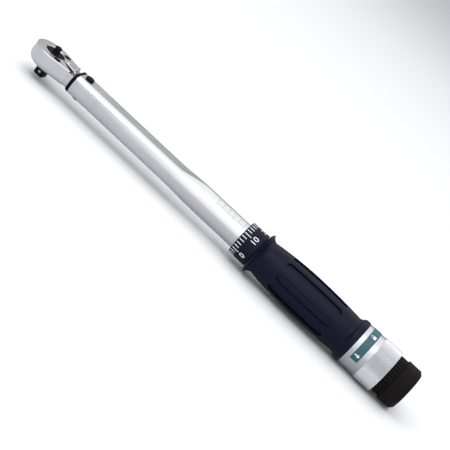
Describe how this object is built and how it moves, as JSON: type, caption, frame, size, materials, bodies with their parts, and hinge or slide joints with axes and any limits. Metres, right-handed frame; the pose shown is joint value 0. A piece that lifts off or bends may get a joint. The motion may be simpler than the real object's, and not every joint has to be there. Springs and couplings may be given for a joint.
{
  "type": "click torque wrench",
  "caption": "Adjustable click torque wrench: round ratchet head with quarter inch square drive, pressed tube, black thimble and slotted grip, knurled locking collar and pull-out lock knob.",
  "frame": {"origin": "where the drive's axis crosses the tube's axis, inside the round head", "axes": "+X along the tube from the head to the handle, +Z along the drive's axis away from the square end, towards the reversing lever"},
  "size_m": [0.2847, 0.0284, 0.0284],
  "materials": {
    "satin_chrome": "satin chrome plate on forged and drawn steel",
    "black_oxide": "black oxide steel",
    "tool_steel": "ground tool steel, lightly oiled",
    "spring_steel": "spring steel",
    "black_anodised": "black anodised aluminium",
    "grip_rubber": "moulded grip, fine matte texture",
    "seal_rubber": "soft black rubber",
    "bare_aluminium": "turned and knurled aluminium",
    "teal_print": "printed teal label",
    "knob_black": "black anodised aluminium",
    "brass": "machined brass"
  },
  "bodies": {
    "frame": {"tube": "satin_chrome", "seal_ring": "seal_rubber", "pivot_pin": "black_oxide", "adjuster_nut": "brass", "main_spring": "spring_steel"},
    "head": {"head_housing": "satin_chrome", "cover_plate": "satin_chrome", "cover_screws": "black_oxide", "detent_pin": "tool_steel"},
    "drive": {"drive_gear": "black_oxide"},
    "button": {"release_button": "black_oxide", "button_spring": "spring_steel"},
    "ball": {"drive_ball": "tool_steel"},
    "lever": {"reversing_lever": "satin_chrome"},
    "pawl": {"pawl": "tool_steel"},
    "plunger": {"plunger": "tool_steel"},
    "block": {"tilt_block": "tool_steel"},
    "carriage": {"spring_seat": "tool_steel", "thrust_washer": "brass"},
    "handle": {"adjusting_screw": "tool_steel", "thimble": "black_anodised", "grip": "grip_rubber", "lock_collar": "bare_aluminium", "lock_label": "teal_print"},
    "lock": {"lock_knob": "knob_black", "lock_rod": "tool_steel", "knob_pin": "black_oxide", "detent_ring": "spring_steel"}
  },
  "joints": [
    {"name": "head_click", "type": "hinge", "parent": "frame", "child": "head", "pos_m": [0.0253, 0, 0], "axis": [0, 0, 1], "range_deg": [0, 1.6], "stiffness_Nm_per_rad": 40, "springref_deg": -1.15},
    {"name": "drive_spin", "type": "hinge", "parent": "head", "child": "drive", "pos_m": [0, 0, 0], "axis": [0, 0, 1], "continuous": true},
    {"name": "release_press", "type": "slide", "parent": "drive", "child": "button", "axis": [0, 0, -1], "range_m": [0, 0.001], "stiffness_N_per_m": 900, "springref_m": -0.002, "deforming": ["button_spring"]},
    {"name": "ball_sink", "type": "slide", "parent": "drive", "child": "ball", "axis": [0, 1, 0], "range_m": [0, 0.0005]},
    {"name": "lever_swing", "type": "hinge", "parent": "head", "child": "lever", "pos_m": [0.0099, 0, 0], "axis": [0, 0, 1], "range_deg": [-16, 0]},
    {"name": "pawl_rock", "type": "hinge", "parent": "head", "child": "pawl", "pos_m": [0.0099, 0, 0], "axis": [0, 0, 1], "range_deg": [-16, 0]},
    {"name": "plunger_slide", "type": "slide", "parent": "frame", "child": "plunger", "axis": [1, 0, 0], "range_m": [0, 0.0006]},
    {"name": "block_tilt", "type": "hinge", "parent": "plunger", "child": "block", "pos_m": [0.1149, 0, 0], "axis": [0, 0, 1], "range_deg": [-11, 0]},
    {"name": "setting_travel", "type": "slide", "parent": "frame", "child": "carriage", "axis": [-1, 0, 0], "range_m": [0, 0.02], "deforming": ["main_spring"]},
    {"name": "handle_turn", "type": "hinge", "parent": "carriage", "child": "handle", "pos_m": [0.19, 0, 0], "axis": [1, 0, 0], "range_deg": [0, 3600.1]},
    {"name": "lock_pull", "type": "slide", "parent": "handle", "child": "lock", "axis": [1, 0, 0], "range_m": [-0.005, 0]}
  ],
  "couplings": [
    {"joint": "ball_sink", "follows": "release_press", "ratio": 0.5},
    {"joint": "pawl_rock", "follows": "lever_swing", "ratio": 1},
    {"joint": "plunger_slide", "follows": "head_click", "m_per_rad": 0.021486},
    {"joint": "block_tilt", "follows": "head_click", "ratio": -6.875},
    {"joint": "handle_turn", "follows": "setting_travel", "rad_per_m": 3141.6}
  ]
}
